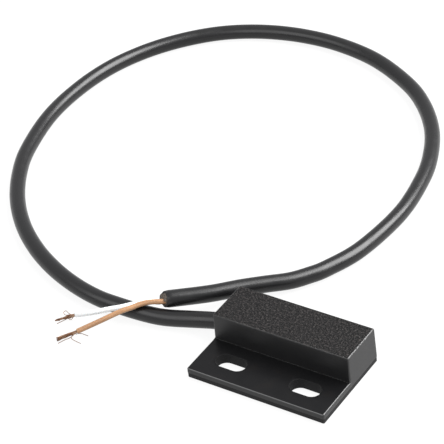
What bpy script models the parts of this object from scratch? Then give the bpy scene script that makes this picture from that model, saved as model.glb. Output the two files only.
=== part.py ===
"""Flange-mount reed sensor.

A moulded housing, L-shaped in section, holds a glass reed capsule in potting resin. A
two-core cable leaves its left end and lies in one loop. Metres, +Z up, +X along the
housing, +Y from the slotted flange to the block. The origin is under the housing's centre.
"""

import math

import bmesh
import bpy
import numpy as np
from mathutils import Vector

MM = 0.001

# Housing
PLATE_LENGTH = 28.6 * MM
PLATE_WIDTH = 19.0 * MM
PLATE_THICKNESS = 2.1 * MM
HOUSING_HEIGHT = 7.6 * MM
BLOCK_WIDTH = 9.65 * MM
DRAFT = math.tan(math.radians(1.5))
PARTING_HEIGHT = 1.05 * MM
PARTING_STEP = 0.06 * MM
PLATE_CORNER_RADIUS = 0.5 * MM
PLATE_EDGE_RADIUS = 0.28 * MM
BLOCK_CORNER_RADIUS = 0.9 * MM
TOP_EDGE_RADIUS = 0.4 * MM
FOOT_FILLET = 0.45 * MM
END_WALL = 1.4 * MM
SIDE_WALL = 1.2 * MM
ROOF = 1.3 * MM
POCKET_CORNER_RADIUS = 0.6 * MM
CUT_BEYOND = 1.0 * MM

# Mounting slots for M3 screws
SLOT_LENGTH = 6.2 * MM
SLOT_WIDTH = 3.5 * MM
SLOT_SPACING = 15.5 * MM
SLOT_ASIDE = 0.175 * MM

# Potting
POTTING_GAP = 0.05 * MM
POTTING_RECESS = 0.2 * MM

# Cable
JACKET_DIAMETER = 3.1 * MM
JACKET_WALL = 0.45 * MM
CORE_DIAMETER = 0.93 * MM
CORE_WALL = 0.18 * MM
CORE_SPACING = 1.0 * MM
CONDUCTOR_DIAMETER = 0.48 * MM
STRANDS = 7
STRAND_DIAMETER = 0.16 * MM
STRAND_STEP = 0.22 * MM
STRAND_TURNS = 0.8
EXIT_HEIGHT = 2.5 * MM
EXIT_ASIDE = 0.57 * MM
EXIT_CLEARANCE = 0.1 * MM
EXIT_STRAIGHT = 0.5 * MM
JACKET_INSIDE = 1.3 * MM
STATION_SPACING = 6.5 * MM
CORE_STEP = 1.3 * MM
SKIN_GAP = 0.05 * MM
CORE_TO_GLASS = 0.19 * MM
# Where each core's insulation starts, from the nearer end of its conductor's joint.
WHITE_CUT = (-1.0 * MM, -0.1 * MM, -0.15 * MM)
BROWN_CUT = (-0.5 * MM, -0.35 * MM, -0.15 * MM)
# The side of the glass that the brown core runs along: mostly towards the flange, and down.
BROWN_SIDE = (0.0, -0.85, -0.53)

# Reed capsule, which lies along X between the cable's end and the far end wall
GLASS_DIAMETER = 2.3 * MM
GLASS_WALL = 0.3 * MM
GLASS_END = 1.0 * MM
GLASS_SHOULDER = 0.5 * MM
SEAL_LENGTH = 2.1 * MM
SEAL_TIP_RADIUS = 0.45 * MM
LEAD_DIAMETER = 0.5 * MM
LEAD_OUTSIDE = 2.8 * MM
LEAD_GAP = 0.05 * MM
BLADE_WIDTH = 1.0 * MM
BLADE_THICKNESS = 0.2 * MM
BLADE_OVERLAP = 1.2 * MM
PRESS_FROM_SEAL = 0.2 * MM
PRESS_LENGTH = 0.9 * MM
CONTACT_GAP = 0.08 * MM
CAPSULE_ASIDE = 1.03 * MM
CAPSULE_TO_ROOF = 1.15 * MM
LEAD_TO_WALL = 0.8 * MM
CABLE_ROOM = 5.4 * MM
SOLDER_LENGTH = 1.6 * MM
SOLDER_DIAMETER = 1.5 * MM
SOLDER_GAP = 0.04 * MM
JOINT_SHIFT = 0.1 * MM

# The cable's free stretch in millimetres, chosen by hand: X, Y, and the lift of its
# underside off the ground. It starts outside the housing and ends where the jacket ends.
CABLE_ROUTE = [
    (-17.2, 3.7, 0.75), (-21.5, 2.6, 0.3), (-26.2, 1.2, 0.05), (-30.5, 0.6, 0.0),
    (-35.9, 0.4, 0.0), (-41.3, 0.6, 0.0), (-47.5, 1.9, 0.0), (-54.2, 4.3, 0.0),
    (-61.1, 7.9, 0.0), (-68.0, 12.9, 0.0), (-74.4, 19.4, 0.0), (-79.6, 26.9, 0.0),
    (-83.4, 34.9, 0.0), (-86.6, 47.0, 0.0), (-87.1, 58.1, 0.0), (-85.6, 68.3, 0.0),
    (-82.0, 77.2, 0.0), (-76.8, 84.6, 0.0), (-70.3, 90.5, 0.0), (-62.4, 94.5, 0.0),
    (-53.5, 96.6, 0.0), (-43.8, 96.7, 0.0), (-33.4, 94.4, 0.0), (-22.8, 89.0, 0.0),
    (-16.0, 83.4, 0.0), (-10.1, 76.0, 0.0), (-6.0, 67.7, 0.0), (-3.6, 59.5, 0.0),
    (-2.2, 48.0, 0.0), (-3.5, 35.0, 0.0), (-6.4, 27.0, 0.0), (-8.4, 23.5, 0.1),
    (-10.6, 20.4, 0.3), (-13.9, 17.0, 0.8), (-17.2, 13.5, 1.3), (-20.8, 9.3, 1.8),
    (-24.9, 5.2, 2.4), (-27.3, 2.9, 2.75),
]

# The stripped cores beyond the jacket, as X, Y and Z in millimetres. They cross over the
# cable's own first stretch and droop to the ground.
BROWN_CORE_ROUTE = [
    (-28.2, 1.85, 4.25), (-29.0, 1.45, 4.2), (-30.0, 0.8, 4.1), (-30.9, -0.1, 4.0),
    (-31.6, -1.0, 3.85), (-33.2, -3.1, 3.3), (-35.5, -5.7, 2.4), (-37.5, -7.5, 1.6),
    (-39.2, -8.9, 1.0),
]
WHITE_CORE_ROUTE = [
    (-28.8, 2.65, 4.2), (-30.2, 1.9, 4.0), (-31.35, 0.95, 3.85), (-32.4, -0.1, 3.75),
    (-34.0, -1.55, 3.6), (-35.7, -2.7, 3.25), (-37.9, -3.85, 2.65), (-40.1, -4.6, 1.95),
    (-42.3, -5.0, 1.15),
]
# The copper beyond each cut end: where the twisted strands end, and the strands that have
# come loose, as X, Y and Z in millimetres from the core's cut end on.
BROWN_COPPER_TIP = (-41.9, -11.8, 0.4)
WHITE_COPPER_TIP = (-45.5, -7.4, 0.4)
BROWN_LOOSE_STRANDS = [
    [(-39.6, -9.6, 0.65), (-40.0, -10.4, 0.4), (-40.6, -11.1, 0.25), (-41.3, -12.4, 0.1)],
    [(-39.45, -9.15, 0.6), (-39.2, -8.6, 0.4), (-38.6, -8.2, 0.25), (-37.4, -8.1, 0.1)],
    [(-39.8, -9.5, 0.6), (-39.75, -10.2, 0.35), (-39.0, -10.4, 0.2), (-37.4, -10.5, 0.1)],
]
WHITE_LOOSE_STRANDS = [
    [
        (-43.2, -5.2, 1.0), (-44.0, -5.1, 1.05), (-44.65, -4.9, 1.2), (-44.9, -5.4, 1.1),
        (-44.3, -5.65, 0.85), (-43.8, -5.3, 0.8), (-44.3, -6.1, 0.5), (-45.0, -7.1, 0.25),
    ],
    [
        (-42.6, -5.45, 0.85), (-42.8, -5.8, 0.5), (-43.15, -6.0, 0.4), (-43.6, -5.9, 0.45),
        (-44.1, -6.5, 0.3), (-44.9, -7.8, 0.1),
    ],
]

HALF_LENGTH = PLATE_LENGTH / 2
HALF_WIDTH = PLATE_WIDTH / 2
BLOCK_FRONT = HALF_WIDTH - BLOCK_WIDTH
BLOCK_CENTRE = HALF_WIDTH - BLOCK_WIDTH / 2
SLOT_Y = (BLOCK_FRONT - HALF_WIDTH) / 2 + SLOT_ASIDE
EXIT_Y = BLOCK_CENTRE - EXIT_ASIDE
POCKET_LEFT = -HALF_LENGTH + END_WALL
JACKET_START = POCKET_LEFT + JACKET_INSIDE
POCKET_LENGTH = PLATE_LENGTH - 2 * END_WALL
GLASS_LENGTH = POCKET_LENGTH - CABLE_ROOM - LEAD_TO_WALL - 2 * LEAD_OUTSIDE
LEAD_END = GLASS_LENGTH / 2 + LEAD_OUTSIDE
CAPSULE_X = POCKET_LEFT + POCKET_LENGTH - LEAD_TO_WALL - LEAD_END
CAPSULE_Z = HOUSING_HEIGHT - ROOF - CAPSULE_TO_ROOF - GLASS_DIAMETER / 2
CAPSULE_CENTRE = Vector((CAPSULE_X, BLOCK_CENTRE + CAPSULE_ASIDE, CAPSULE_Z))
SEAL_CENTRE = GLASS_LENGTH / 2 - SEAL_LENGTH / 2
SOLDER_FROM_CENTRE = LEAD_END - SOLDER_LENGTH / 2
# A conductor lies against its lead, below it and on the flange side.
CONDUCTOR_OFFSET = (LEAD_DIAMETER + CONDUCTOR_DIAMETER) / 2 + LEAD_GAP
JOINT_SIDE = Vector((0, -math.sqrt(0.5), -math.sqrt(0.5)))


def clear_scene():
    for obj in list(bpy.data.objects):
        bpy.data.objects.remove(obj, do_unlink=True)


def new_collection(name, cutters=False):
    collection = bpy.data.collections.new(name)
    collection.hide_render = cutters
    bpy.context.scene.collection.children.link(collection)
    return collection


def principled(name, colour, roughness, metallic=0.0):
    material = bpy.data.materials.new(name)
    material.use_nodes = True
    shader = material.node_tree.nodes["Principled BSDF"]
    shader.inputs["Base Color"].default_value = (*colour, 1.0)
    shader.inputs["Roughness"].default_value = roughness
    shader.inputs["Metallic"].default_value = metallic
    return material


def add_object(name, data, collection, material=None):
    obj = bpy.data.objects.new(name, data)
    collection.objects.link(obj)
    if material:
        data.materials.append(material)
    if collection.hide_render:
        obj.hide_render = True
        obj.display_type = "WIRE"
    return obj


def smooth_shading(obj, degrees=35):
    obj.data.shade_smooth()
    obj.data.set_sharp_from_angle(angle=math.radians(degrees))


def mesh_from(bm, name):
    mesh = bpy.data.meshes.new(name)
    bmesh.ops.recalc_face_normals(bm, faces=bm.faces)
    bm.to_mesh(mesh)
    bm.free()
    return mesh


def boolean(obj, other, operation):
    modifier = obj.modifiers.new(f"{operation.lower()}_{other.name}", "BOOLEAN")
    modifier.operation = operation
    modifier.solver = "EXACT"
    modifier.object = other


def box(name, low, high, collection):
    """A box between two corners, from the cube primitive."""
    bm = bmesh.new()
    bmesh.ops.create_cube(bm, size=1.0)
    low, high = Vector(low), Vector(high)
    for vert in bm.verts:
        vert.co = (low + high) / 2 + Vector(a * b for a, b in zip(vert.co, high - low))
    return add_object(name, mesh_from(bm, name), collection)


def cylinder_along_x(name, radius, start, end, y, z, collection, segments=24):
    bm = bmesh.new()
    bmesh.ops.create_cone(
        bm, cap_ends=True, segments=segments, radius1=radius, radius2=radius, depth=end - start
    )
    obj = add_object(name, mesh_from(bm, name), collection)
    obj.rotation_euler = (0, math.pi / 2, 0)
    obj.location = ((start + end) / 2, y, z)
    smooth_shading(obj)
    return obj


def round_edges(obj, radius_of, segments=3):
    """Bevels each edge by the radius that radius_of gives for its two ends, or by none."""
    radii = [
        radius_of(*(obj.data.vertices[i].co for i in edge.vertices)) for edge in obj.data.edges
    ]
    widest = max(radii)
    weights = obj.data.attributes.new("bevel_weight_edge", "FLOAT", "EDGE")
    weights.data.foreach_set("value", [radius / widest for radius in radii])
    modifier = obj.modifiers.new("rounding", "BEVEL")
    modifier.limit_method = "WEIGHT"
    modifier.width = widest
    modifier.segments = segments
    modifier.use_clamp_overlap = False


def draft_in(height):
    """How far a drafted wall leans in at this height above the parting line."""
    return (height - PARTING_HEIGHT) * DRAFT


def upper_body(collection, material):
    """The housing above its parting line: an L section drawn along X, with drafted ends."""
    lean = draft_in(HOUSING_HEIGHT)
    section = [
        (-HALF_WIDTH, PARTING_HEIGHT),
        (-HALF_WIDTH + draft_in(PLATE_THICKNESS), PLATE_THICKNESS),
        (BLOCK_FRONT, PLATE_THICKNESS),
        (BLOCK_FRONT + lean, HOUSING_HEIGHT),
        (HALF_WIDTH - lean, HOUSING_HEIGHT),
        (HALF_WIDTH, PARTING_HEIGHT),
    ]
    bm = bmesh.new()
    outline = bm.faces.new([bm.verts.new((-HALF_LENGTH, y, z)) for y, z in section])
    drawn = bmesh.ops.extrude_face_region(bm, geom=[outline])
    moved = [item for item in drawn["geom"] if isinstance(item, bmesh.types.BMVert)]
    bmesh.ops.translate(bm, verts=moved, vec=(PLATE_LENGTH, 0, 0))
    for vert in bm.verts:
        vert.co.x -= math.copysign(draft_in(vert.co.z), vert.co.x)
    body = add_object("housing", mesh_from(bm, "housing"), collection, material)

    def radius_of(a, b):
        top = min(a.z, b.z) > PLATE_THICKNESS + 1e-6
        if abs(a.z - b.z) > 1e-6:
            block_front = min(a.z, b.z) > PLATE_THICKNESS - 1e-6
            return BLOCK_CORNER_RADIUS if block_front else PLATE_CORNER_RADIUS
        if max(a.z, b.z) < PARTING_HEIGHT + 1e-6:
            return 0.0
        if top:
            return TOP_EDGE_RADIUS
        at_foot = min(a.y, b.y) > BLOCK_FRONT - 1e-6
        return FOOT_FILLET if at_foot else PLATE_EDGE_RADIUS

    round_edges(body, radius_of)
    return body


def lower_plate(collection):
    """The half of the plate below the parting line, a shade smaller all round."""
    half_length = HALF_LENGTH - PARTING_STEP
    half_width = HALF_WIDTH - PARTING_STEP
    plate = box(
        "lower_plate",
        (-half_length, -half_width, 0),
        (half_length, half_width, (PARTING_HEIGHT + PLATE_THICKNESS) / 2),
        collection,
    )

    def radius_of(a, b):
        return PLATE_CORNER_RADIUS if abs(a.z - b.z) > 1e-6 else 0.0

    round_edges(plate, radius_of)
    return plate


def slot_cutter(name, x, collection):
    """A stadium: a cylinder whose two halves are pulled apart along X."""
    bm = bmesh.new()
    bmesh.ops.create_cone(
        bm,
        cap_ends=True,
        segments=32,
        radius1=SLOT_WIDTH / 2,
        radius2=SLOT_WIDTH / 2,
        depth=PLATE_THICKNESS * 3,
    )
    for vert in bm.verts:
        if abs(vert.co.x) > 1e-7:
            vert.co.x += math.copysign((SLOT_LENGTH - SLOT_WIDTH) / 2, vert.co.x)
    bmesh.ops.remove_doubles(bm, verts=bm.verts, dist=1e-7)
    obj = add_object(name, mesh_from(bm, name), collection)
    obj.location = (x, SLOT_Y, PLATE_THICKNESS / 2)
    smooth_shading(obj)
    return obj


def pocket(name, gap, floor, collection, material=None):
    """The pocket under the block, from floor up. Its filling is smaller by gap all round."""
    top = HOUSING_HEIGHT - ROOF - gap
    left, right = POCKET_LEFT + gap, HALF_LENGTH - END_WALL - gap
    front, back = BLOCK_FRONT + SIDE_WALL + gap, HALF_WIDTH - SIDE_WALL - gap
    obj = box(name, (left, front, floor), (right, back, top), collection)
    centre = Vector(((left + right) / 2, (front + back) / 2, 0))
    for vert in obj.data.vertices:
        lean = draft_in(vert.co.z)
        vert.co.x += math.copysign(lean, centre.x - vert.co.x)
        vert.co.y += math.copysign(lean, centre.y - vert.co.y)

    def radius_of(a, b):
        if abs(a.z - b.z) > 1e-6:
            return POCKET_CORNER_RADIUS
        return TOP_EDGE_RADIUS if min(a.z, b.z) > floor + 1e-6 else 0.0

    round_edges(obj, radius_of)
    if material:
        obj.data.materials.append(material)
    return obj


def make_housing(pieces, cutters):
    body = upper_body(pieces, principled("black_moulding", (0.02, 0.02, 0.022), 0.55))
    boolean(body, lower_plate(cutters), "UNION")
    for name, side in (("slot_left", -1), ("slot_right", 1)):
        slot = slot_cutter(name, side * SLOT_SPACING / 2, cutters)
        boolean(body, slot, "DIFFERENCE")
    boolean(body, pocket("pocket", 0.0, -CUT_BEYOND, cutters), "DIFFERENCE")
    cable_hole = cylinder_along_x(
        "cable_hole",
        JACKET_DIAMETER / 2 + EXIT_CLEARANCE,
        -HALF_LENGTH - CUT_BEYOND,
        POCKET_LEFT + CUT_BEYOND,
        EXIT_Y,
        EXIT_HEIGHT,
        cutters,
    )
    boolean(body, cable_hole, "DIFFERENCE")
    return body


def revolve(name, profile, collection, material=None, steps=20):
    """Turns a closed or axis-to-axis profile of (radius, along) about X."""
    bm = bmesh.new()
    verts = [bm.verts.new((radius, 0, -along)) for radius, along in profile]
    for a, b in zip(verts, verts[1:]):
        bm.edges.new((a, b))
    if min(profile[0][0], profile[-1][0]) > 0:
        bm.edges.new((verts[-1], verts[0]))
    mesh = bpy.data.meshes.new(name)
    bm.to_mesh(mesh)
    bm.free()
    obj = add_object(name, mesh, collection, material)
    screw = obj.modifiers.new("turning", "SCREW")
    screw.steps = steps
    screw.render_steps = steps
    screw.use_merge_vertices = True
    screw.merge_threshold = 1e-7
    screw.use_smooth_shade = True
    obj.rotation_euler = (0, -math.pi / 2, 0)
    return obj


def mirrored(profile):
    """The same profile at the other end, in the order that runs on from it."""
    return [(radius, -along) for radius, along in reversed(profile)]


def glass_outside(extra):
    """The outside of the capsule from its left tip to its right tip, extra larger.

    Each end draws in from the tube to the tip along a quarter of an ellipse.
    """
    tip_radius = SEAL_TIP_RADIUS + extra
    draw = GLASS_DIAMETER / 2 + extra - tip_radius
    start = GLASS_LENGTH / 2 - GLASS_END
    angles = [math.radians(15 * n) for n in range(7)]
    right = [(tip_radius + draw * math.cos(a), start + GLASS_END * math.sin(a)) for a in angles]
    return mirrored(right) + right


def make_glass(pieces):
    bore = LEAD_DIAMETER / 2 + LEAD_GAP
    inner = GLASS_DIAMETER / 2 - GLASS_WALL
    end = GLASS_LENGTH / 2
    seal = end - SEAL_LENGTH
    inside = [(bore, end), (bore, seal), (inner, seal - GLASS_SHOULDER)]
    inside += mirrored(inside)
    material = principled("capsule_glass", (0.55, 0.72, 0.6), 0.08)
    glass = revolve("glass_capsule", glass_outside(0.0) + inside, pieces, material)
    glass.location = CAPSULE_CENTRE
    return glass


def flattened(along, blade_from, blade_full):
    """How far the wire is pressed flat here: 0 is round, 1 is a full blade."""
    share = min(max((along - blade_from) / (blade_full - blade_from), 0.0), 1.0)
    return share * share * (3 - 2 * share)


def make_reed(name, turned, pieces, material):
    """One wire, round outside the glass and pressed to a blade inside.

    Its own X runs from the lead to the tip, and its origin is in the middle of the seal,
    where the hinge is that stands in for the blade's bending. The pressed section is a
    rounded rectangle: a circle whose two coordinates are raised to powers under 1.
    """
    start = SEAL_CENTRE - LEAD_END
    tip = SEAL_CENTRE + BLADE_OVERLAP / 2
    blade_from = SEAL_LENGTH / 2 + PRESS_FROM_SEAL
    blade_full = blade_from + PRESS_LENGTH
    bm = bmesh.new()
    bmesh.ops.create_cone(
        bm,
        cap_ends=True,
        segments=16,
        radius1=LEAD_DIAMETER / 2,
        radius2=LEAD_DIAMETER / 2,
        depth=tip - start,
    )
    for vert in bm.verts:
        vert.co = (vert.co.z + (start + tip) / 2, vert.co.y, -vert.co.x)
    for cut in np.linspace(blade_from, blade_full, 6):
        everything = bm.verts[:] + bm.edges[:] + bm.faces[:]
        bmesh.ops.bisect_plane(bm, geom=everything, plane_co=(cut, 0, 0), plane_no=(1, 0, 0))
    lift = (BLADE_THICKNESS + CONTACT_GAP) / 2
    for vert in bm.verts:
        press = flattened(vert.co.x, blade_from, blade_full)
        radius = LEAD_DIAMETER / 2
        across, up = vert.co.y / radius, vert.co.z / radius
        wide = math.copysign(abs(across) ** 0.7, across) * BLADE_WIDTH / 2
        thick = math.copysign(abs(up) ** 0.35, up) * BLADE_THICKNESS / 2 + lift
        vert.co.y += (wide - vert.co.y) * press
        vert.co.z += (thick - vert.co.z) * press
    reed = add_object(name, mesh_from(bm, name), pieces, material)
    side = 1 if turned else -1
    reed.location = CAPSULE_CENTRE + Vector((side * SEAL_CENTRE, 0, 0))
    reed.rotation_euler = (0, math.pi if turned else 0, 0)
    smooth_shading(reed)
    return reed


def curve_object(name, points, radius, collection, material, resolution, caps=True):
    """A round tube or wire along straight steps between points."""
    data = bpy.data.curves.new(name, "CURVE")
    data.dimensions = "3D"
    data.bevel_depth = radius
    data.bevel_resolution = resolution
    data.use_fill_caps = caps
    spline = data.splines.new("POLY")
    spline.points.add(len(points) - 1)
    spline.points.foreach_set("co", np.c_[points, np.ones(len(points))].ravel())
    return add_object(name, data, collection, material)


def hollow(obj, wall):
    modifier = obj.modifiers.new("wall", "SOLIDIFY")
    modifier.thickness = wall
    modifier.offset = -1
    modifier.use_even_offset = True


def as_mesh(obj):
    """Turns a cutter that is a curve into a mesh, in place."""
    graph = bpy.context.evaluated_depsgraph_get()
    mesh = bpy.data.meshes.new_from_object(obj.evaluated_get(graph))
    bm = bmesh.new()
    bm.from_mesh(mesh)
    bmesh.ops.remove_doubles(bm, verts=bm.verts, dist=1e-7)
    bmesh.ops.recalc_face_normals(bm, faces=bm.faces)
    bm.to_mesh(mesh)
    bm.free()
    name, collection, matrix = obj.name, obj.users_collection[0], obj.matrix_world.copy()
    bpy.data.objects.remove(obj, do_unlink=True)
    solid = add_object(name, mesh, collection)
    solid.matrix_world = matrix
    return solid


def smooth_points(points, step, before=None, after=None):
    """Points about a step apart on a Catmull-Rom curve through the given points."""
    points = np.asarray(points, float)
    first = 2 * points[0] - points[1] if before is None else np.asarray(before, float)
    last = 2 * points[-1] - points[-2] if after is None else np.asarray(after, float)
    knots = np.vstack([first, points, last])
    t = np.linspace(0, 1, 24, endpoint=False)[:, None]
    fine = []
    for p0, p1, p2, p3 in zip(knots, knots[1:], knots[2:], knots[3:]):
        bend = 2 * p0 - 5 * p1 + 4 * p2 - p3
        twist = 3 * p1 - p0 - 3 * p2 + p3
        fine.append(p1 + 0.5 * ((p2 - p0) * t + bend * t**2 + twist * t**3))
    fine = np.vstack(fine + [points[-1:]])
    length = np.r_[0, np.cumsum(np.linalg.norm(np.diff(fine, axis=0), axis=1))]
    count = max(2, round(length[-1] / step) + 1)
    wanted = np.linspace(0, length[-1], count)
    return np.column_stack([np.interp(wanted, length, fine[:, axis]) for axis in range(3)])


def jacket_stations():
    """The cable's centre line, from its end inside the housing to the jacket's cut end."""
    start = (JACKET_START, EXIT_Y, EXIT_HEIGHT)
    mouth = (-HALF_LENGTH - EXIT_STRAIGHT, EXIT_Y, EXIT_HEIGHT)
    rise = JACKET_DIAMETER / 2
    free = [(x * MM, y * MM, lift * MM + rise) for x, y, lift in CABLE_ROUTE]
    return np.vstack([start, smooth_points([mouth] + free, STATION_SPACING, before=start)])


def beside(stations, distance):
    """The stations moved sideways, level, by a distance to the right of their run."""
    along = np.gradient(stations, axis=0)
    side = np.column_stack([-along[:, 1], along[:, 0], np.zeros(len(stations))])
    side /= np.linalg.norm(side, axis=1)[:, None]
    return stations + distance * side


def joint_line(side):
    """Where a conductor lies beside the lead: its inner and its outer end."""
    middle = CAPSULE_CENTRE + CONDUCTOR_OFFSET * JOINT_SIDE
    inner = SOLDER_FROM_CENTRE - SOLDER_LENGTH / 2 - JOINT_SHIFT
    outer = SOLDER_FROM_CENTRE + SOLDER_LENGTH / 2 - JOINT_SHIFT
    return [np.array(middle + Vector((side * along, 0, 0))) for along in (inner, outer)]


def white_inner_route():
    """The white core's centre line from the near lead to the jacket.

    Returns its bare end, which lies along the lead, and the insulated stretch after it.
    """
    inner, outer = joint_line(-1)
    cut = outer + WHITE_CUT
    return [inner, outer, cut], [cut]


def brown_inner_route():
    """The same for the brown core, which runs back along the capsule to the far lead."""
    inner, outer = joint_line(1)
    cut = inner + BROWN_CUT
    clear = (GLASS_DIAMETER + CORE_DIAMETER) / 2 + CORE_TO_GLASS
    aside = np.array(CAPSULE_CENTRE) + clear * np.array(BROWN_SIDE)
    straight = np.linspace(GLASS_LENGTH / 2 - GLASS_END, -GLASS_LENGTH / 2, 3)
    return [outer, inner, cut], [cut] + [aside + (x, 0, 0) for x in straight]


def core_path(inner_points, distance, outer_points):
    """A core's centre line: the stretch in the potting, and the whole of it."""
    stations = beside(jacket_stations(), distance)
    inner = smooth_points(inner_points + [stations[0]], CORE_STEP, after=stations[1])
    outer = [stations[-1]] + [np.array(point) * MM for point in outer_points]
    outer = smooth_points(outer, CORE_STEP, before=stations[-2])
    return inner, np.vstack([inner[:-1], stations, outer[1:]])


def wound_line(start, end, radius, first_turn, turns, count=14):
    """A strand that winds round the line from start to end, at a radius from it."""
    share = np.linspace(0, 1, count)[:, None]
    side = unit(np.cross(end - start, (0, 0, 1)))
    up = unit(np.cross(side, end - start))
    angle = 2 * math.pi * (first_turn + turns * share)
    return start + (end - start) * share + radius * (side * np.cos(angle) + up * np.sin(angle))


def make_core(name, colour, inner_route, distance, outer_points, tip, loose, pieces, cutters):
    """One core: its insulation, its conductor, and its strands where they are bare.

    Returns the cutters that leave room for it in the potting.
    """
    bare, insulated = inner_route
    inside, path = core_path(insulated, distance, outer_points)
    plastic = principled(f"{name}_insulation", colour, 0.45)
    copper = principled(f"{name}_copper", (0.72, 0.4, 0.25), 0.35, 1.0)
    skin = curve_object(
        f"{name}_core", path, CORE_DIAMETER / 2, pieces, plastic, 2, caps=False
    )
    hollow(skin, CORE_WALL)
    stripped = smooth_points(bare, CORE_STEP / 2, after=path[1])
    whole = np.vstack([stripped[:-1], path])
    curve_object(f"{name}_conductor", whole, CONDUCTOR_DIAMETER / 2, pieces, copper, 1)

    add_strands(name, path, np.array(tip) * MM, loose, pieces, copper)

    channels = []
    for kind, points, diameter in (
        ("core", inside, CORE_DIAMETER),
        ("conductor", stripped, CONDUCTOR_DIAMETER),
    ):
        ends = extended(points, SKIN_GAP)
        radius = diameter / 2 + SKIN_GAP
        channel = curve_object(f"{name}_{kind}_channel", ends, radius, cutters, None, 2)
        channels.append(as_mesh(channel))
    return channels


def add_strands(name, path, tip, loose, pieces, copper):
    """The strands beyond a core's cut end: one straight, the rest wound on it or loose."""
    cut = path[-1] + SKIN_GAP * unit(path[-1] - path[-2])
    ring = STRANDS - 1
    routes = [wound_line(cut, tip, 0.0, 0.0, 0.0)]
    for n in range(ring):
        wound = wound_line(cut, tip, 1.05 * STRAND_DIAMETER, n / ring, STRAND_TURNS)
        if n < ring - len(loose):
            routes.append(wound)
        else:
            own = [np.array(point) * MM for point in loose[n - ring]]
            routes.append(smooth_points([wound[0]] + own, STRAND_STEP))
    for n, points in enumerate(routes):
        points[:, 2] = np.maximum(points[:, 2], STRAND_DIAMETER / 2)
        strand = f"{name}_strand_{n + 1}"
        curve_object(strand, points, STRAND_DIAMETER / 2, pieces, copper, 1)


def unit(vector):
    return vector / np.linalg.norm(vector)


def extended(points, distance):
    """The same run of points with both ends moved outward by a distance."""
    points = np.array(points)
    start = points[0] + distance * unit(points[0] - points[1])
    end = points[-1] + distance * unit(points[-1] - points[-2])
    return np.vstack([start, points[1:-1], end])


def make_solder(name, side, pieces, cutters, material):
    """A solder bead round a lead and the conductor beside it, bored for both."""
    centre = CAPSULE_CENTRE + Vector((side * SOLDER_FROM_CENTRE, 0, 0))
    middle = centre + CONDUCTOR_OFFSET / 2 * JOINT_SIDE

    def bead(bead_name, extra, collection, finish=None):
        bm = bmesh.new()
        bmesh.ops.create_uvsphere(bm, u_segments=16, v_segments=10, radius=1.0)
        across = SOLDER_DIAMETER / 2 + extra
        bmesh.ops.scale(bm, verts=bm.verts, vec=(SOLDER_LENGTH / 2 + extra, across, across))
        obj = add_object(bead_name, mesh_from(bm, bead_name), collection, finish)
        obj.location = middle
        smooth_shading(obj)
        return obj

    solid = bead(name, 0.0, pieces, material)
    for kind, diameter, place in (
        ("lead", LEAD_DIAMETER, centre),
        ("conductor", CONDUCTOR_DIAMETER, centre + CONDUCTOR_OFFSET * JOINT_SIDE),
    ):
        bore = cylinder_along_x(
            f"{name}_{kind}_bore",
            diameter / 2 + SOLDER_GAP,
            place.x - SOLDER_LENGTH,
            place.x + SOLDER_LENGTH,
            place.y,
            place.z,
            cutters,
            segments=16,
        )
        boolean(solid, bore, "DIFFERENCE")
    return bead(f"{name}_room", SKIN_GAP, cutters)


def capsule_room(cutters):
    """The room that the potting leaves for the capsule and its two leads."""
    lead = LEAD_DIAMETER / 2 + LEAD_GAP + SKIN_GAP / 2
    end = LEAD_END + SKIN_GAP
    profile = [(0, -end), (lead, -end)] + glass_outside(SKIN_GAP) + [(lead, end), (0, end)]
    tips = GLASS_LENGTH / 2 + SKIN_GAP
    profile.insert(2, (lead, -tips))
    profile.insert(len(profile) - 2, (lead, tips))
    room = revolve("capsule_room", profile, cutters)
    room.location = CAPSULE_CENTRE
    return room


def make_cable_jacket(pieces):
    rubber = principled("black_jacket", (0.025, 0.025, 0.027), 0.4)
    jacket = curve_object(
        "cable_jacket", jacket_stations(), JACKET_DIAMETER / 2, pieces, rubber, 3, caps=False
    )
    hollow(jacket, JACKET_WALL)
    return jacket


def make_potting(rooms, pieces, cutters):
    resin = principled("potting_resin", (0.03, 0.03, 0.032), 0.25)
    potting = pocket("potting", POTTING_GAP, POTTING_RECESS, pieces, resin)
    jacket_room = cylinder_along_x(
        "jacket_room",
        JACKET_DIAMETER / 2 + SKIN_GAP,
        -HALF_LENGTH,
        JACKET_START + SKIN_GAP,
        EXIT_Y,
        EXIT_HEIGHT,
        cutters,
    )
    for room in [jacket_room] + rooms:
        boolean(potting, room, "DIFFERENCE")
    return potting


def build():
    clear_scene()
    pieces = new_collection("reed_sensor")
    cutters = new_collection("cutters", cutters=True)
    make_housing(pieces, cutters)
    make_glass(pieces)
    nickel_iron = principled("nickel_iron", (0.62, 0.6, 0.57), 0.3, 1.0)
    make_reed("near_reed", False, pieces, nickel_iron)
    make_reed("far_reed", True, pieces, nickel_iron)
    tin = principled("solder", (0.6, 0.61, 0.62), 0.35, 1.0)
    rooms = [
        capsule_room(cutters),
        make_solder("near_solder", -1, pieces, cutters, tin),
        make_solder("far_solder", 1, pieces, cutters, tin),
    ]
    half = CORE_SPACING / 2
    rooms += make_core(
        "brown", (0.62, 0.36, 0.2), brown_inner_route(), half,
        BROWN_CORE_ROUTE, BROWN_COPPER_TIP, BROWN_LOOSE_STRANDS, pieces, cutters,
    )
    rooms += make_core(
        "white", (0.82, 0.82, 0.8), white_inner_route(), -half,
        WHITE_CORE_ROUTE, WHITE_COPPER_TIP, WHITE_LOOSE_STRANDS, pieces, cutters,
    )
    make_cable_jacket(pieces)
    make_potting(rooms, pieces, cutters)


build()
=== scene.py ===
# %% [markdown]
# # A flange-mount reed sensor and its cable
#
# The object is a small black moulded sensor on a slotted flange, with a round two-core cable
# that lies in one loop and ends in two stripped cores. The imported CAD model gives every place
# and size. This lesson dresses it: finer surfaces where the eye lands, and a material for
# each real finish. Everything is in metres, with +Z up.

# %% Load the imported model
import math

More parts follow.
